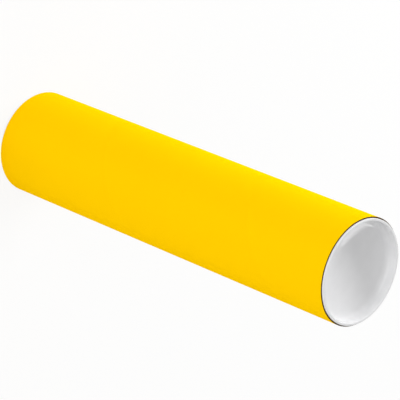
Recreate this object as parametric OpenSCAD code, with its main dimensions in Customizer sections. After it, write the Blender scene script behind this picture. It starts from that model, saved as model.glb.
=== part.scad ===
// Mailing tube: a spiral-wound board tube, closed at both ends by moulded push-in caps.
// It stands on its rear cap, with the axis along +Z and the rear flange on z = 0.

/* [Tube] */
// Inside diameter of the tube
bore_d = 76.2; // [50:0.1:110]
// Thickness of the wound board
wall_t = 2; // [1.5:0.1:4]
// Length of the board tube, from cut end to cut end
tube_len = 333; // [120:1:900]
// Bevel that the trimming knife leaves along the edges of each cut end
cut_bevel = 0.15; // [0.05:0.05:0.3]

/* [End caps] */
// Thickness of the flange, which stops on the cut end of the tube
flange_t = 1.5; // [1.2:0.1:2.5]
// Width of cut board that the flange leaves bare around itself
rim_show = 0.95; // [0.5:0.05:1.2]
// Radius of the rounded outer edge of the flange
flange_round = 0.4; // [0.2:0.1:0.7]
// Radius of the rounded edge where the flange turns into the recess
mouth_round = 0.4; // [0.2:0.1:0.7]
// Depth of the recess at its middle, from the face of the flange to the floor
recess_depth = 12; // [9:0.5:30]
// Thickness of the skirt
skirt_t = 0.8; // [0.6:0.1:1.2]
// Thickness of the floor
floor_t = 1.2; // [0.8:0.1:2]
// Radius of the shallow dish that the floor is part of
dish_r = 180; // [140:5:1000]
// Radius of the fillet that turns the floor up into the skirt, inside the recess
floor_fillet = 5; // [0.5:0.1:8]

/* [Fit] */
// Radial clearance between the skirt and the bore
skirt_clearance = 0.05; // [0.02:0.01:0.1]

/* [Hidden] */
round_fn = 180;
arc_steps = 8;

bore_r = bore_d / 2;
outer_r = bore_r + wall_t;
rear_seat_z = flange_t;
front_seat_z = rear_seat_z + tube_len;

skirt_r = bore_r - skirt_clearance;
flange_r = outer_r - rim_show;
mouth_r = skirt_r - skirt_t;
floor_z = flange_t - recess_depth;
dish_z = floor_z + dish_r;
// The fillet is no larger than one that reaches from the dish up to the seat of the flange
fillet_room = (-2 * dish_r * floor_z - floor_z ^ 2 - mouth_r ^ 2) / (2 * (dish_r - mouth_r));
fillet_round = min(floor_fillet, fillet_room);

// Points of an arc round a centre, from one angle to another
function arc(centre, radius, from, to) = [
    for (i = [0 : arc_steps])
        let (a = from + (to - from) * i / arc_steps)
            centre + radius * [cos(a), sin(a)]
];

function all_but_last(points) = [for (i = [0 : len(points) - 2]) points[i]];

function reversed(points) = [for (i = [len(points) - 1 : -1 : 0]) points[i]];

// Half section of a dish from its middle out, with the rounded corner that takes it up into a wall
function turned_up(bowl_r, corner_r, wall_r) =
    let (
        lean = asin((wall_r - corner_r) / (bowl_r - corner_r)),
        corner_z = dish_z - (bowl_r - corner_r) * cos(lean)
    )
    concat(
        all_but_last(arc([0, dish_z], bowl_r, -90, lean - 90)),
        arc([wall_r - corner_r, corner_z], corner_r, lean - 90, 0)
    );

// Half section of the moulded cap: its seat on the cut end is z = 0, its flange is above
module cap_section() {
    underside = turned_up(dish_r + floor_t, fillet_round + skirt_t, skirt_r);
    flange_edge = arc([flange_r - flange_round, flange_t - flange_round], flange_round, 0, 90);
    mouth_edge = arc([mouth_r + mouth_round, flange_t - mouth_round], mouth_round, 90, 180);
    recess = turned_up(dish_r, fillet_round, mouth_r);
    polygon(concat(
        underside,
        [[skirt_r, 0], [flange_r, 0]],
        flange_edge,
        mouth_edge,
        reversed(recess)
    ));
}

module end_cap() {
    rotate_extrude($fn = round_fn) cap_section();
}

// Half section of the board wall, standing on z = 0, with its cut edges bevelled
module wall_section() {
    polygon([
        [bore_r + cut_bevel, 0],
        [outer_r - cut_bevel, 0],
        [outer_r, cut_bevel],
        [outer_r, tube_len - cut_bevel],
        [outer_r - cut_bevel, tube_len],
        [bore_r + cut_bevel, tube_len],
        [bore_r, tube_len - cut_bevel],
        [bore_r, cut_bevel]
    ]);
}

module tube() {
    color("gold")
        translate([0, 0, rear_seat_z])
            rotate_extrude($fn = round_fn) wall_section();
}

module front_cap() {
    color("white")
        translate([0, 0, front_seat_z]) end_cap();
}

module rear_cap() {
    color("white")
        translate([0, 0, rear_seat_z]) mirror([0, 0, 1]) end_cap();
}

tube();
front_cap();
rear_cap();
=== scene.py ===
import math

import bmesh
import bpy
from bpy.props import FloatProperty, FloatVectorProperty, IntProperty, PointerProperty
from mathutils import Matrix, Vector


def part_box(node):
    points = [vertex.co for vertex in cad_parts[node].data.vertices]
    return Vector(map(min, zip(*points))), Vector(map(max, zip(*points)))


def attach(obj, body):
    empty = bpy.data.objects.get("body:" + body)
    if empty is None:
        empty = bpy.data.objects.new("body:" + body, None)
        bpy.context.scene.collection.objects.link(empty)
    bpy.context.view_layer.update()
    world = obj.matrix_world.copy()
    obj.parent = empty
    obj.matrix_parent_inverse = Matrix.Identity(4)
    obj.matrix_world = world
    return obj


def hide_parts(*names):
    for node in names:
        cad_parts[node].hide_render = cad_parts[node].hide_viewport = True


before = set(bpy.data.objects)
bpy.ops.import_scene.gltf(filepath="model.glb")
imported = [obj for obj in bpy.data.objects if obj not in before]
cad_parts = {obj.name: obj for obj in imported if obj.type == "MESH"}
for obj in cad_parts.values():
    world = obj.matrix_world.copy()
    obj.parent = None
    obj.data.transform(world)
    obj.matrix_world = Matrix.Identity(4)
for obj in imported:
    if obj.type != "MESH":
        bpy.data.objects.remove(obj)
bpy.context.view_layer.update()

bl_info = {
    "name": "Mailing tube",
    "version": (1, 0, 0),
    "blender": (4, 5, 0),
    "location": "View3D > Sidebar > Mailing tube",
    "description": "Builds a spiral-wound board mailing tube with moulded push-in end caps",
    "category": "Add Mesh",
}

MM = 0.001
# How near a vertex has to be, in metres, to count as on a cutting plane and on a rim
ON_CUT = 1e-7
ON_RIM = 1e-6
# Width of the camera's sensor in millimetres, and how far the camera sees in metres
SENSOR_WIDTH = 36
CAMERA_REACH = 50
# Lamps that flags keep out of the cap's gloss
FLAGGED_LAMPS = ("key", "edge")


def linear(hex_colour):
    """Turns an sRGB hex colour into linear red, green and blue."""
    shares = [int(hex_colour[i:i + 2], 16) / 255 for i in (1, 3, 5)]
    return tuple(s / 12.92 if s <= 0.04045 else ((s + 0.055) / 1.055) ** 2.4 for s in shares)


def inner_radius(node):
    """The smallest distance of a frame node's surface from the tube's axis."""
    return min(math.hypot(v.co.x, v.co.y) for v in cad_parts[node].data.vertices)


# The frame's own sizes, which the pieces below take as they are
TUBE_LOW, TUBE_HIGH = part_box("tube")
CAP_LOW, CAP_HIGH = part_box("front_cap")
OUTER_R = TUBE_HIGH[0]
BORE_R = inner_radius("tube")
REAR_SEAT = TUBE_LOW[2]
FRONT_SEAT = TUBE_HIGH[2]
FLANGE_R = CAP_HIGH[0]
FLANGE_T = CAP_HIGH[2] - FRONT_SEAT
PLUG_DEPTH = FRONT_SEAT - CAP_LOW[2]


class WoundTubeSettings(bpy.types.PropertyGroup):
    outer_radius: FloatProperty(
        name="Outer radius", description="Radius over the yellow paper",
        default=OUTER_R, unit="LENGTH")
    bore_radius: FloatProperty(
        name="Bore radius", description="Inside radius of the board tube",
        default=BORE_R, unit="LENGTH")
    cut_bevel: FloatProperty(
        name="Cut bevel", description="Bevel that the trimming knife leaves at each cut end",
        default=0.15 * MM, unit="LENGTH")
    plies: IntProperty(
        name="Plies", description="Layers of board in the wall, which show on the cut ends",
        default=5, min=2, max=12)
    ply_groove: FloatProperty(
        name="Ply groove", description="Depth of the glue line between two plies on a cut end",
        default=0.04 * MM, unit="LENGTH")
    strip_width: FloatProperty(
        name="Strip width", description="Width of the paper strip that is wound into the outer ply",
        default=127 * MM, unit="LENGTH")
    seam_width: FloatProperty(
        name="Seam width", description="Width of the butt seam between two turns of the outer ply",
        default=0.5 * MM, unit="LENGTH")
    seam_depth: FloatProperty(
        name="Seam depth", description="Depth of that seam",
        default=0.03 * MM, unit="LENGTH")
    paper_colour: FloatVectorProperty(
        name="Outer paper", description="Colour of the outer paper",
        default=linear("#FFCA02"), subtype="COLOR", size=3, min=0, max=1)
    # Partly the board's own brown, partly painted shade of the gap under the cap's flange
    cut_colour_and_gap_shade: FloatVectorProperty(
        name="Cut board", description="Colour of the board where it is cut",
        default=linear("#4C3414"), subtype="COLOR", size=3, min=0, max=1)
    bore_colour: FloatVectorProperty(
        name="Inner board", description="Colour of the board inside the tube",
        default=linear("#A98556"), subtype="COLOR", size=3, min=0, max=1)


class EndCapSettings(bpy.types.PropertyGroup):
    flange_radius: FloatProperty(
        name="Flange radius", description="Outer radius of the flange",
        default=FLANGE_R, unit="LENGTH")
    flange_thickness: FloatProperty(
        name="Flange thickness", description="Height of the flange over the cut end",
        default=FLANGE_T, unit="LENGTH")
    plug_depth: FloatProperty(
        name="Plug depth", description="How far the cap reaches into the tube",
        default=PLUG_DEPTH, unit="LENGTH")
    edge_round: FloatProperty(
        name="Edge round", description="Radius of the flange's two edges",
        default=0.4 * MM, unit="LENGTH")
    skirt_thickness: FloatProperty(
        name="Skirt thickness", description="Thickness of the skirt that grips the bore",
        default=0.8 * MM, unit="LENGTH")
    floor_thickness: FloatProperty(
        name="Floor thickness", description="Thickness of the recessed floor",
        default=1.2 * MM, unit="LENGTH")
    skirt_clearance: FloatProperty(
        name="Skirt clearance", description="Radial gap between the skirt and the bore",
        default=0.05 * MM, unit="LENGTH")
    floor_fillet: FloatProperty(
        name="Floor fillet", description="Radius between skirt and floor inside the recess",
        default=5 * MM, unit="LENGTH")
    dish_radius: FloatProperty(
        name="Dish radius", description="Radius of the shallow dish that the floor is part of",
        default=180 * MM, unit="LENGTH")
    plastic_colour: FloatVectorProperty(
        name="Plastic", description="Colour of the moulded plastic",
        default=linear("#EBEBEC"), subtype="COLOR", size=3, min=0, max=1)


class StageSettings(bpy.types.PropertyGroup):
    floor_radius: FloatProperty(
        name="Floor radius", description="Radius of the round studio floor",
        default=6.0, unit="LENGTH")
    floor_hole: FloatProperty(
        name="Floor hole", description="Radius of the hole that lights the rear cap's recess from below",
        default=FLANGE_R - 2 * MM, unit="LENGTH")
    floor_colour: FloatVectorProperty(
        name="Floor", description="Colour of the floor",
        default=linear("#F0F0EE"), subtype="COLOR", size=3, min=0, max=1)
    floor_glow: FloatProperty(
        name="Floor glow", description="Share of plain white in the floor as the camera sees it",
        default=0.88, min=0, max=1, subtype="FACTOR")
    room_light: FloatProperty(
        name="Room light", description="Strength of the even light from all round",
        default=0.5, min=0)
    key_power: FloatProperty(
        name="Key power", description="Power of the long strip behind the tube",
        default=28.5, min=0, unit="POWER")
    edge_power: FloatProperty(
        name="Edge power", description="Power of the low strip behind, which hardly reaches the recess",
        default=3.8, min=0, unit="POWER")
    fill_power: FloatProperty(
        name="Fill power", description="Power of the wide fill on the camera's side",
        default=25, min=0, unit="POWER")
    rim_power: FloatProperty(
        name="Rim power", description="Power of the weak strip that lifts the tube's shaded side",
        default=6.5, min=0, unit="POWER")
    top_power: FloatProperty(
        name="Top power", description="Power of the slim softbox that the cap's dish mirrors",
        default=0.3, min=0, unit="POWER")
    camera_place: FloatVectorProperty(
        name="Camera place", description="Where the camera stands",
        default=(-0.0047, -1.3972, 1.35565), subtype="TRANSLATION", unit="LENGTH", size=3)
    camera_drop: FloatProperty(
        name="Camera drop", description="Angle at which the camera looks down",
        default=math.radians(40.187), subtype="ANGLE")
    camera_roll: FloatProperty(
        name="Camera roll", description="Turn of the camera about its own line of sight",
        default=math.radians(111.98), subtype="ANGLE")
    camera_lens: FloatProperty(
        name="Focal length", description="Focal length in millimetres on a 36 mm sensor",
        default=224.08, min=1)


# Nodes and materials

def add_node(tree, kind, settings=None, inputs=None):
    """Adds a node, sets its attributes, and fills its inputs with links or plain values."""
    node = tree.nodes.new(kind)
    for name, value in (settings or {}).items():
        setattr(node, name, value)
    for socket, value in (inputs or {}).items():
        target = node.inputs[socket]
        if isinstance(value, bpy.types.NodeSocket):
            tree.links.new(value, target)
        else:
            target.default_value = value
    return node


def new_material(name):
    """An empty node material with its output node."""
    material = bpy.data.materials.new(name)
    material.use_nodes = True
    tree = material.node_tree
    tree.nodes.clear()
    return material, tree, tree.nodes.new("ShaderNodeOutputMaterial")


def shade(colour, share):
    """A colour for a socket, at a share of its lightness."""
    return (*(min(1.0, c * share) for c in colour), 1.0)


def helix_pitch(settings):
    """Rise of the outer seam in one turn, for a strip whose turns meet edge to edge."""
    turn = 2 * math.pi * settings.outer_radius
    return settings.strip_width / math.sqrt(1 - (settings.strip_width / turn) ** 2)


def calendered_yellow_paper(settings):
    # Dyed litho paper, rolled smooth: one flat, strong, matt yellow. Its fibres give a faint mottle.
    material, tree, output = new_material("calendered_yellow_paper")
    place = add_node(tree, "ShaderNodeTexCoord").outputs["Object"]
    # Real fibre clumps are about 0.4 mm across; they are drawn at 1.6 mm so that they show at all.
    clump = 1.6 * MM
    mottle = add_node(tree, "ShaderNodeTexNoise", {}, {
        "Vector": place, "Scale": 1 / clump, "Detail": 3.0, "Roughness": 0.6}).outputs["Fac"]
    # Dye density drifts slowly along the web, over hand-sized patches that are a few percent deeper.
    patch = 70 * MM
    deeper = (0.97, 0.965, 0.96)
    drift = add_node(tree, "ShaderNodeTexNoise", {}, {
        "Vector": place, "Scale": 1 / patch, "Detail": 2.0}).outputs["Fac"]
    tone = add_node(tree, "ShaderNodeMix", {"data_type": "RGBA"}, {
        "Factor": mottle, "A": shade(settings.paper_colour, 0.97),
        "B": shade(settings.paper_colour, 1.02)}).outputs["Result"]
    tone = add_node(tree, "ShaderNodeMix", {"data_type": "RGBA", "blend_type": "MULTIPLY"}, {
        "Factor": drift, "A": tone, "B": shade(deeper, 1)}).outputs["Result"]
    rough = add_node(tree, "ShaderNodeMapRange", {}, {
        "Value": mottle, "To Min": 0.46, "To Max": 0.58}).outputs["Result"]
    bump = add_node(tree, "ShaderNodeBump", {}, {
        "Height": mottle, "Strength": 0.12, "Distance": 0.05 * MM}).outputs["Normal"]
    shader = add_node(tree, "ShaderNodeBsdfPrincipled", {}, {
        "Base Color": tone, "Roughness": rough, "Normal": bump,
        "IOR": 1.5, "Specular IOR Level": 0.0})
    tree.links.new(shader.outputs["BSDF"], output.inputs["Surface"])
    return material


def cut_board(settings):
    # Wound chipboard, knife cut: a dull brown edge, speckled by chips of paler and darker fibre.
    # Its brown is deepened to near black: painted shade of the gap under the cap's flange.
    material, tree, output = new_material("cut_board")
    place = add_node(tree, "ShaderNodeTexCoord").outputs["Object"]
    # Chips of reclaimed fibre are 0.3 to 1 mm long.
    chip = 0.8 * MM
    chips = add_node(tree, "ShaderNodeTexNoise", {}, {
        "Vector": place, "Scale": 1 / chip, "Detail": 4.0, "Roughness": 0.7}).outputs["Fac"]
    tone = add_node(tree, "ShaderNodeMix", {"data_type": "RGBA"}, {
        "Factor": chips, "A": shade(settings.cut_colour_and_gap_shade, 0.6),
        "B": shade(settings.cut_colour_and_gap_shade, 1.35)}).outputs["Result"]
    bump = add_node(tree, "ShaderNodeBump", {}, {
        "Height": chips, "Strength": 0.5, "Distance": 0.1 * MM}).outputs["Normal"]
    shader = add_node(tree, "ShaderNodeBsdfPrincipled", {}, {
        "Base Color": tone, "Normal": bump, "Roughness": 0.95, "IOR": 1.5, "Specular IOR Level": 0.1})
    tree.links.new(shader.outputs["BSDF"], output.inputs["Surface"])
    return material


def kraft_liner(settings):
    # Unbleached kraft paper on the inside of the tube: warm brown and matt, mottled by its long fibres.
    material, tree, output = new_material("kraft_liner")
    place = add_node(tree, "ShaderNodeTexCoord").outputs["Object"]
    # Kraft fibres are 2 to 3 mm long, so the mottle runs at 2.5 mm.
    fibre = 2.5 * MM
    mottle = add_node(tree, "ShaderNodeTexNoise", {}, {
        "Vector": place, "Scale": 1 / fibre, "Detail": 4.0, "Roughness": 0.65}).outputs["Fac"]
    tone = add_node(tree, "ShaderNodeMix", {"data_type": "RGBA"}, {
        "Factor": mottle, "A": shade(settings.bore_colour, 0.75),
        "B": shade(settings.bore_colour, 1.2)}).outputs["Result"]
    bump = add_node(tree, "ShaderNodeBump", {}, {
        "Height": mottle, "Strength": 0.25, "Distance": 0.1 * MM}).outputs["Normal"]
    shader = add_node(tree, "ShaderNodeBsdfPrincipled", {}, {
        "Base Color": tone, "Normal": bump, "Roughness": 0.88, "IOR": 1.5, "Specular IOR Level": 0.2})
    tree.links.new(shader.outputs["BSDF"], output.inputs["Surface"])
    return material


def moulded_polyethylene(settings):
    # Low density polyethylene, injection moulded white: milky, a little light goes in, with a glossy skin.
    material, tree, output = new_material("moulded_polyethylene")
    place = add_node(tree, "ShaderNodeTexCoord").outputs["Object"]
    # The melt cools unevenly, which leaves cloudy patches about 9 mm across.
    cloud = 9 * MM
    clouds = add_node(tree, "ShaderNodeTexNoise", {}, {
        "Vector": place, "Scale": 1 / cloud, "Detail": 2.0}).outputs["Fac"]
    tone = add_node(tree, "ShaderNodeMix", {"data_type": "RGBA"}, {
        "Factor": clouds, "A": shade(settings.plastic_colour, 0.96),
        "B": shade(settings.plastic_colour, 1.03)}).outputs["Result"]
    # The mould's faint grain is about 0.1 mm; it is drawn at 0.5 mm so that it shows close up.
    grain = 0.5 * MM
    grains = add_node(tree, "ShaderNodeTexNoise", {}, {
        "Vector": place, "Scale": 1 / grain, "Detail": 2.0}).outputs["Fac"]
    rough = add_node(tree, "ShaderNodeMapRange", {}, {
        "Value": grains, "To Min": 0.07, "To Max": 0.10}).outputs["Result"]
    bump = add_node(tree, "ShaderNodeBump", {}, {
        "Height": grains, "Strength": 0.08, "Distance": 0.03 * MM}).outputs["Normal"]
    shader = add_node(tree, "ShaderNodeBsdfPrincipled", {"subsurface_method": "RANDOM_WALK"}, {
        "Base Color": tone, "Roughness": rough, "Normal": bump, "IOR": 1.51,
        "Subsurface Weight": 0.1, "Subsurface Radius": (1.0, 1.0, 1.0), "Subsurface Scale": 1.0 * MM})
    tree.links.new(shader.outputs["BSDF"], output.inputs["Surface"])
    return material


def seen_directly(tree):
    """1 for a ray from the camera, a reflection or a see-through surface, and 0 for light itself."""
    path = add_node(tree, "ShaderNodeLightPath").outputs
    either = add_node(tree, "ShaderNodeMath", {"operation": "MAXIMUM"}, {
        0: path["Is Camera Ray"], 1: path["Is Glossy Ray"]}).outputs[0]
    return add_node(tree, "ShaderNodeMath", {"operation": "MAXIMUM"}, {
        0: either, 1: path["Is Transmission Ray"]}).outputs[0]


def studio_paper(settings):
    # White background paper: matt and even. It looks white and keeps a soft shadow; from below it is open.
    material, tree, output = new_material("studio_paper")
    lit = add_node(tree, "ShaderNodeBsdfDiffuse", {}, {"Color": shade(settings.floor_colour, 1)})
    white = add_node(tree, "ShaderNodeEmission", {}, {"Strength": 1.0})
    share = add_node(tree, "ShaderNodeMath", {"operation": "MULTIPLY"}, {
        0: seen_directly(tree), 1: settings.floor_glow}).outputs[0]
    front = add_node(tree, "ShaderNodeMixShader", {}, {
        0: share, 1: lit.outputs[0], 2: white.outputs[0]})
    below = add_node(tree, "ShaderNodeBsdfTransparent")
    facing = add_node(tree, "ShaderNodeNewGeometry").outputs["Backfacing"]
    both = add_node(tree, "ShaderNodeMixShader", {}, {
        0: facing, 1: front.outputs[0], 2: below.outputs[0]})
    tree.links.new(both.outputs[0], output.inputs["Surface"])
    return material


# Meshes

def finish_mesh(shape, name, materials, smooth_limit=math.radians(30)):
    """Makes a bmesh into an object, smooth but for the edges that are sharper than the limit."""
    bmesh.ops.recalc_face_normals(shape, faces=shape.faces)
    for face in shape.faces:
        face.smooth = True
    for edge in shape.edges:
        if edge.calc_face_angle(0.0) > smooth_limit:
            edge.smooth = False
    mesh = bpy.data.meshes.new(name)
    shape.to_mesh(mesh)
    shape.free()
    for material in materials:
        mesh.materials.append(material)
    piece = bpy.data.objects.new(name, mesh)
    bpy.context.scene.collection.objects.link(piece)
    return piece


def arc(centre, radius, start, end, steps=8):
    """Points of an arc in a half section, as (radius, height), from one angle to another."""
    turns = [start + (end - start) * i / steps for i in range(steps + 1)]
    return [(centre[0] + radius * math.cos(a), centre[1] + radius * math.sin(a)) for a in turns]


def revolve(section, columns):
    """Turns a half section that starts and ends on the axis into a closed bmesh."""
    shape = bmesh.new()
    turns = [2 * math.pi * i / columns for i in range(columns)]
    rings = []
    for radius, height in section[1:-1]:
        rings.append([shape.verts.new((radius * math.cos(a), radius * math.sin(a), height)) for a in turns])
    for low, high in zip(rings, rings[1:]):
        for i in range(columns):
            j = (i + 1) % columns
            shape.faces.new((low[i], low[j], high[j], high[i]))
    for ring, (_, height) in ((rings[0], section[0]), (rings[-1], section[-1])):
        pole = shape.verts.new((0, 0, height))
        for i in range(columns):
            shape.faces.new((pole, ring[i], ring[(i + 1) % columns]))
    return shape


def wound_skin(settings, low, high, columns=240, rows_per_turn=16):
    """The outer paper as one skin whose rows follow the winding, with the butt seam pressed in."""
    pitch = helix_pitch(settings)
    half = settings.seam_width / 2
    rise = [pitch * i / rows_per_turn for i in range(1, rows_per_turn)]
    offsets = [(-half, 0), (0, settings.seam_depth), (half, 0)] + [(r, 0) for r in rise]
    turns = math.ceil((high - low) / pitch) + 1
    rows = sorted((low + (k - 1) * pitch + v, depth) for k in range(turns + 1) for v, depth in offsets)
    shape = bmesh.new()
    per_turn = len(offsets)
    grid = []
    for height, depth in rows:
        ring = []
        for i in range(columns):
            angle = 2 * math.pi * i / columns
            radius = settings.outer_radius - depth
            ring.append(shape.verts.new((
                radius * math.cos(angle), radius * math.sin(angle), height + pitch * i / columns)))
        grid.append(ring)
    for k in range(len(rows) - 1):
        for i in range(columns - 1):
            shape.faces.new((grid[k][i], grid[k][i + 1], grid[k + 1][i + 1], grid[k + 1][i]))
        ahead = k + per_turn
        if ahead + 1 < len(rows):
            shape.faces.new((grid[k][-1], grid[ahead][0], grid[ahead + 1][0], grid[k + 1][-1]))
    for height, side in ((low, -1), (high, 1)):
        bmesh.ops.bisect_plane(
            shape, geom=shape.verts[:] + shape.edges[:] + shape.faces[:], dist=ON_CUT,
            plane_co=(0, 0, height), plane_no=(0, 0, side), clear_outer=True)
    return shape


def wound_tube(settings):
    """The board tube: wound skin outside, cut ends with their plies, and the liner of the bore."""
    bevel = settings.cut_bevel
    low = REAR_SEAT + bevel
    high = FRONT_SEAT - bevel
    shape = wound_skin(settings, low, high)
    ply = (settings.outer_radius - settings.bore_radius) / settings.plies
    groove = settings.ply_groove
    # Half section of a cut end from outside to inside: radius, and depth below the cut
    steps = [(settings.outer_radius - bevel, 0)]
    for k in range(1, settings.plies):
        line = settings.outer_radius - k * ply
        steps += [(line + groove, 0), (line, groove), (line - groove, 0)]
    steps += [(settings.bore_radius + bevel, 0), (settings.bore_radius, bevel)]
    inner_loops = []
    for height, cut, side in ((low, REAR_SEAT, 1), (high, FRONT_SEAT, -1)):
        rim = [v for v in shape.verts if abs(v.co.z - height) < ON_RIM]
        ring = sorted(rim, key=lambda v: math.atan2(v.co.y, v.co.x))
        angles = [math.atan2(v.co.y, v.co.x) for v in ring]
        for radius, depth in steps:
            level = cut + side * depth
            inner = [shape.verts.new((radius * math.cos(a), radius * math.sin(a), level)) for a in angles]
            for i in range(len(ring)):
                j = (i + 1) % len(ring)
                face = shape.faces.new((ring[i], ring[j], inner[j], inner[i]))
                face.material_index = 1
            ring = inner
        last = set(ring)
        inner_loops.append([e for e in shape.edges if e.is_boundary and e.verts[0] in last])
    bore = bmesh.ops.bridge_loops(shape, edges=inner_loops[0] + inner_loops[1])
    for face in bore["faces"]:
        face.material_index = 2
    return finish_mesh(shape, "wound_tube", [
        calendered_yellow_paper(settings), cut_board(settings), kraft_liner(settings)])


def cap_section(settings, floor_rings=16):
    """Half section of the moulded cap, from the axis under the floor round to the axis on top of it.
    The seat on the cut end is at height 0, and the flange is above it."""
    skirt_r = BORE_R - settings.skirt_clearance
    mouth_r = skirt_r - settings.skirt_thickness
    top = settings.flange_thickness
    edge = settings.edge_round
    dish_centre = settings.floor_thickness - settings.plug_depth + settings.dish_radius

    def turned_up(bowl, corner, wall):
        """A dish from its middle out, and the rounded corner that takes it up into a wall."""
        lean = math.asin((wall - corner) / (bowl - corner))
        height = dish_centre - (bowl - corner) * math.cos(lean)
        down = -math.pi / 2
        floor = arc((0, dish_centre), bowl, down, down + lean, floor_rings)
        return floor[:-1] + arc((wall - corner, height), corner, down + lean, 0)

    underside = turned_up(settings.dish_radius + settings.floor_thickness,
                          settings.floor_fillet + settings.skirt_thickness, skirt_r)
    recess = turned_up(settings.dish_radius, settings.floor_fillet, mouth_r)
    flange_edge = arc((settings.flange_radius - edge, top - edge), edge, 0, math.pi / 2)
    mouth_edge = arc((mouth_r + edge, top - edge), edge, math.pi / 2, math.pi)
    return (underside + [(skirt_r, 0), (settings.flange_radius, 0)]
            + flange_edge + mouth_edge + recess[::-1])


def end_cap(settings, name, material, seat, up):
    """One moulded cap on its seat, with its flange towards up, which is 1 or -1."""
    shape = revolve(cap_section(settings), columns=192)
    turn = Matrix.Identity(4) if up > 0 else Matrix.Rotation(math.pi, 4, "X")
    bmesh.ops.transform(shape, matrix=Matrix.Translation((0, 0, seat)) @ turn, verts=shape.verts)
    return finish_mesh(shape, name, [material])


# Operators

class BuildWoundTube(bpy.types.Operator):
    """Builds the spiral-wound board tube"""
    bl_idname = "mailing_tube.wound_tube"
    bl_label = "Wound tube"

    def execute(self, context):
        piece = wound_tube(context.scene.wound_tube_settings)
        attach(piece, "tube")
        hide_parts("tube")
        return {"FINISHED"}


class BuildEndCaps(bpy.types.Operator):
    """Builds the two moulded end caps"""
    bl_idname = "mailing_tube.end_caps"
    bl_label = "End caps"

    def execute(self, context):
        settings = context.scene.end_cap_settings
        material = moulded_polyethylene(settings)
        for body, seat, up in (("front_cap", FRONT_SEAT, 1), ("rear_cap", REAR_SEAT, -1)):
            piece = end_cap(settings, body + "_moulding", material, seat, up)
            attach(piece, body)
            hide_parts(body)
        return {"FINISHED"}


# Each lamp's name, azimuth from +X and elevation in degrees as the front cap sees it,
# distance, width, height, and turn in degrees about the line to the cap
LAMPS = (
    ("key", 147, 17, 1.8, 1.6, 0.35, 0),
    ("edge", 156, 0, 1.8, 1.0, 0.3, 0),
    ("fill", 278, 10.5, 2.0, 3.4, 1.0, 0),
    ("rim", 25, -5, 1.8, 1.0, 0.3, 0),
    ("top", 79.2, 29.2, 1.2, 0.36, 0.09, -45),
)


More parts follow.
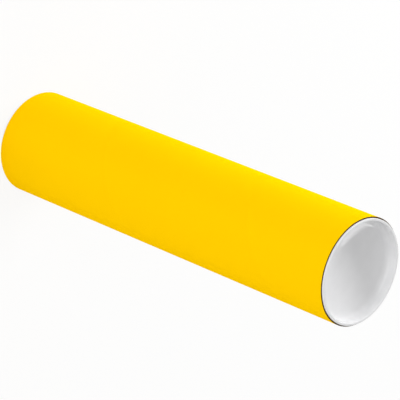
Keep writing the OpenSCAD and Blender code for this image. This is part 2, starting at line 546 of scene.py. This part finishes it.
class BuildStage(bpy.types.Operator):
    """Builds the floor, the studio light and the camera"""
    bl_idname = "mailing_tube.stage"
    bl_label = "Stage"

    def execute(self, context):
        settings = context.scene.stage_settings
        scene = context.scene
        scene.view_settings.view_transform = "Standard"
        self.lay_floor(scene, settings)
        self.light_world(scene, settings)
        for name, *place in LAMPS:
            self.hang_lamp(scene, name, getattr(settings, name + "_power"), *place)
        self.place_camera(scene, settings)
        return {"FINISHED"}

    def lay_floor(self, scene, settings):
        # The hole is hidden by the rear cap, which stands over it at every pose.
        shape = bmesh.new()
        columns = 96
        turns = [2 * math.pi * i / columns for i in range(columns)]
        outer, inner = (
            [shape.verts.new((radius * math.cos(a), radius * math.sin(a), 0)) for a in turns]
            for radius in (settings.floor_radius, settings.floor_hole))
        for i in range(columns):
            j = (i + 1) % columns
            shape.faces.new((outer[i], outer[j], inner[j], inner[i]))
        mesh = bpy.data.meshes.new("floor")
        shape.to_mesh(mesh)
        shape.free()
        mesh.materials.append(studio_paper(settings))
        floor = bpy.data.objects.new("floor", mesh)
        scene.collection.objects.link(floor)

    def light_world(self, scene, settings):
        world = bpy.data.worlds.new("studio")
        scene.world = world
        world.use_nodes = True
        tree = world.node_tree
        tree.nodes.clear()
        room = add_node(tree, "ShaderNodeBackground", {}, {"Strength": settings.room_light})
        white = add_node(tree, "ShaderNodeBackground", {}, {"Strength": 1.0})
        for background in (room, white):
            background.inputs["Color"].default_value = (1, 1, 1, 1)
        both = add_node(tree, "ShaderNodeMixShader", {}, {
            0: seen_directly(tree), 1: room.outputs[0], 2: white.outputs[0]})
        output = tree.nodes.new("ShaderNodeOutputWorld")
        tree.links.new(both.outputs[0], output.inputs["Surface"])

    def hang_lamp(self, scene, name, power, azimuth, elevation, distance, width, height, turn):
        light = bpy.data.lights.new(name, "AREA")
        light.shape = "RECTANGLE"
        light.energy = power
        light.size = width
        light.size_y = height
        lamp = bpy.data.objects.new(name, light)
        lamp.visible_camera = False
        lamp.visible_glossy = name not in FLAGGED_LAMPS
        bearing, rise = math.radians(azimuth), math.radians(elevation)
        heading = Vector((
            math.cos(bearing) * math.cos(rise), math.sin(bearing) * math.cos(rise), math.sin(rise)))
        aim = heading.to_track_quat("Z", "Y").to_matrix().to_4x4()
        place = Matrix.Translation(Vector((0, 0, FRONT_SEAT)) + heading * distance)
        lamp.matrix_world = place @ aim @ Matrix.Rotation(math.radians(turn), 4, "Z")
        scene.collection.objects.link(lamp)

    def place_camera(self, scene, settings):
        lens = bpy.data.cameras.new("camera")
        lens.lens = settings.camera_lens
        lens.sensor_width = SENSOR_WIDTH
        lens.clip_end = CAMERA_REACH
        camera = bpy.data.objects.new("camera", lens)
        tilt = Matrix.Rotation(math.pi / 2 - settings.camera_drop, 4, "X")
        roll = Matrix.Rotation(settings.camera_roll, 4, "Z")
        camera.matrix_world = Matrix.Translation(settings.camera_place) @ tilt @ roll
        scene.collection.objects.link(camera)
        scene.camera = camera


class MailingTubePanel(bpy.types.Panel):
    """Lists the pieces of the mailing tube and its stage"""
    bl_idname = "VIEW3D_PT_mailing_tube"
    bl_label = "Mailing tube"
    bl_space_type = "VIEW_3D"
    bl_region_type = "UI"
    bl_category = "Mailing tube"

    def draw(self, context):
        for operator, settings in BUILDERS:
            box = self.layout.box()
            box.operator(operator.bl_idname)
            group = getattr(context.scene, settings)
            for name in group.__annotations__:
                box.prop(group, name)


BUILDERS = (
    (BuildWoundTube, "wound_tube_settings"),
    (BuildEndCaps, "end_cap_settings"),
    (BuildStage, "stage_settings"),
)
GROUPS = {
    "wound_tube_settings": WoundTubeSettings,
    "end_cap_settings": EndCapSettings,
    "stage_settings": StageSettings,
}
CLASSES = (*GROUPS.values(), BuildWoundTube, BuildEndCaps, BuildStage, MailingTubePanel)


def register():
    for cls in CLASSES:
        bpy.utils.register_class(cls)
    for name, group in GROUPS.items():
        setattr(bpy.types.Scene, name, PointerProperty(type=group))


def unregister():
    for name in GROUPS:
        delattr(bpy.types.Scene, name)
    for cls in reversed(CLASSES):
        bpy.utils.unregister_class(cls)


def main():
    register()
    bpy.ops.mailing_tube.wound_tube()
    bpy.ops.mailing_tube.end_caps()
    bpy.ops.mailing_tube.stage()


if __name__ == "__main__":
    main()
